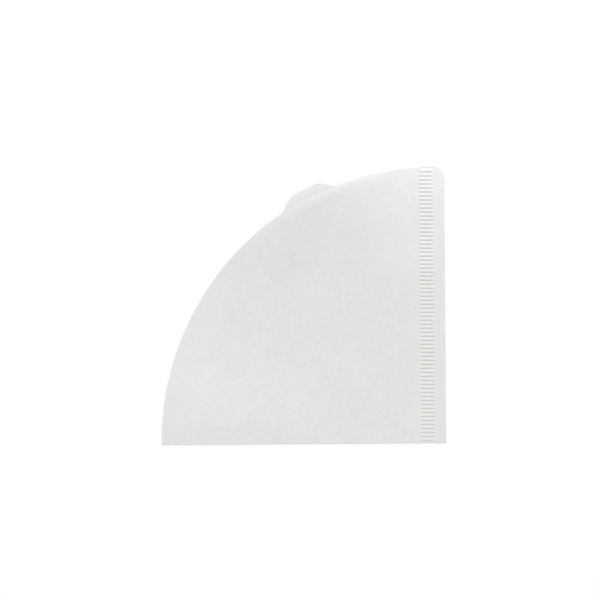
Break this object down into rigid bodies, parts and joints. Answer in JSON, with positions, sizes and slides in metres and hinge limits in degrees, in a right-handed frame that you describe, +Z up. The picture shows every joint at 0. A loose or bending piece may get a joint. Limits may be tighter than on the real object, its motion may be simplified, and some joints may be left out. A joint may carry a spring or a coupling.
{
  "type": "paper coffee filter",
  "caption": "Cone-shaped paper coffee filter folded flat, with a creased bottom edge, a crimped side seam, an open arc-shaped mouth and a rounded pull tab.",
  "frame": {"origin": "middle of the bounding box, on the surface that the filter lies on", "axes": "+Z up out of the front leaf, +X along the crease towards the crimped seam, +Y along the seam towards the mouth"},
  "size_m": [0.1422, 0.1384, 0.0029],
  "materials": {
    "filter_paper": "matt bleached filter paper with soft fibres, slightly warm white"
  },
  "bodies": {
    "root": {"filter_sheet": "filter_paper"}
  },
  "joints": []
}
